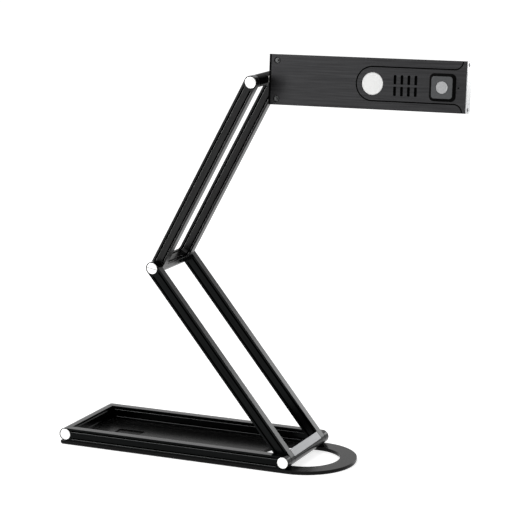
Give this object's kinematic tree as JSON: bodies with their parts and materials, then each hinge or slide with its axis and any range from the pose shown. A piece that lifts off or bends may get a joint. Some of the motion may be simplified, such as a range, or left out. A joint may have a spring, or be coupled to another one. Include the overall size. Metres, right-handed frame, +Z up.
{
  "type": "document camera",
  "caption": "Folding document camera: a flat tray base with a ring, two framed arms on friction hinges and a slim camera head with lamp and lens.",
  "frame": {"origin": "middle of the base's flat underside, on the resting surface", "axes": "+Z up; +X along the base from the tray's closed end to the ring, the way the head points; -Y is the side that the lens faces in this pose"},
  "size_m": [0.4289, 0.105, 0.4181],
  "materials": {
    "black_painted_steel": "black powder coat",
    "black_aluminium": "black anodised, satin",
    "brushed_black_aluminium": "black anodised, brushed along its length",
    "satin_silver": "satin, clear anodised",
    "polished_aluminium": "polished",
    "polished_silver": "polished plating",
    "steel": "plain, zinc plated",
    "rubber": "matt black",
    "black_plastic": "moulded, matt",
    "white_diffuser": "milky white, frosted",
    "grey_plastic": "dark grey, satin",
    "lens_glass": "clear coated glass",
    "circuit_board": "green solder mask"
  },
  "bodies": {
    "base": {"base_hinge_bolt": "steel", "base_hinge_cap_far": "polished_silver", "base_hinge_cap_near": "polished_silver", "base_hinge_nut": "steel", "base_hinge_washer_far": "black_plastic", "base_hinge_washer_near": "black_plastic", "base_pad": "rubber", "base_plate": "black_painted_steel", "base_rail_far": "black_aluminium", "base_rail_near": "black_aluminium", "base_screw_1": "steel", "base_screw_2": "steel", "base_screw_3": "steel", "base_screw_4": "steel", "tray_end_bar": "black_aluminium", "tray_end_screw_far": "polished_silver", "tray_end_screw_near": "polished_silver"},
    "lower_arm": {"lower_bar_dowel_far": "steel", "lower_bar_dowel_near": "steel", "lower_bar_plate": "satin_silver", "lower_cross_bar": "black_aluminium", "lower_rail_far": "black_aluminium", "lower_rail_near": "black_aluminium", "mid_hinge_bolt": "steel", "mid_hinge_cap_far": "polished_silver", "mid_hinge_cap_near": "polished_silver", "mid_hinge_nut": "steel", "mid_hinge_washer_far": "black_plastic", "mid_hinge_washer_near": "black_plastic"},
    "upper_arm": {"top_hinge_bolt": "steel", "top_hinge_cap_far": "polished_silver", "top_hinge_cap_near": "polished_silver", "top_hinge_nut": "steel", "top_hinge_washer_far": "black_plastic", "top_hinge_washer_near": "black_plastic", "upper_arm_frame": "black_aluminium"},
    "knuckle": {"hinge_knuckle": "black_painted_steel", "swivel_shaft": "steel"},
    "head": {"end_plate_screw_high": "steel", "end_plate_screw_low": "steel", "face_screw_high": "steel", "face_screw_low": "steel", "head_end_plate": "polished_aluminium", "head_front_panel": "brushed_black_aluminium", "head_housing": "black_aluminium", "head_root_plate": "black_plastic", "head_tongue_panel": "brushed_black_aluminium", "image_sensor": "circuit_board", "lamp_board": "circuit_board", "lamp_diffuser": "white_diffuser", "lens_barrel": "black_plastic", "lens_bezel": "black_plastic", "lens_glass": "lens_glass", "lens_plate": "grey_plastic", "main_board": "circuit_board", "microphone": "black_plastic", "swivel_nut": "steel", "swivel_washer": "steel", "usb_socket": "steel"}
  },
  "joints": [
    {"name": "base_hinge", "type": "hinge", "parent": "base", "child": "lower_arm", "pos_m": [0.1, 0, 0.01105], "axis": [0, 1, 0], "range_deg": [-47, 43]},
    {"name": "mid_hinge", "type": "hinge", "parent": "lower_arm", "child": "upper_arm", "pos_m": [-0.04945, 0, 0.19627], "axis": [0, -1, 0], "range_deg": [-77, 57]},
    {"name": "head_tilt", "type": "hinge", "parent": "upper_arm", "child": "knuckle", "pos_m": [0.05749, 0, 0.39081], "axis": [0, 1, 0], "range_deg": [-61, 116]},
    {"name": "head_swivel", "type": "hinge", "parent": "knuckle", "child": "head", "pos_m": [0.05749, 0, 0.39081], "axis": [1, 0, 0.0087], "range_deg": [-84, 96]}
  ]
}
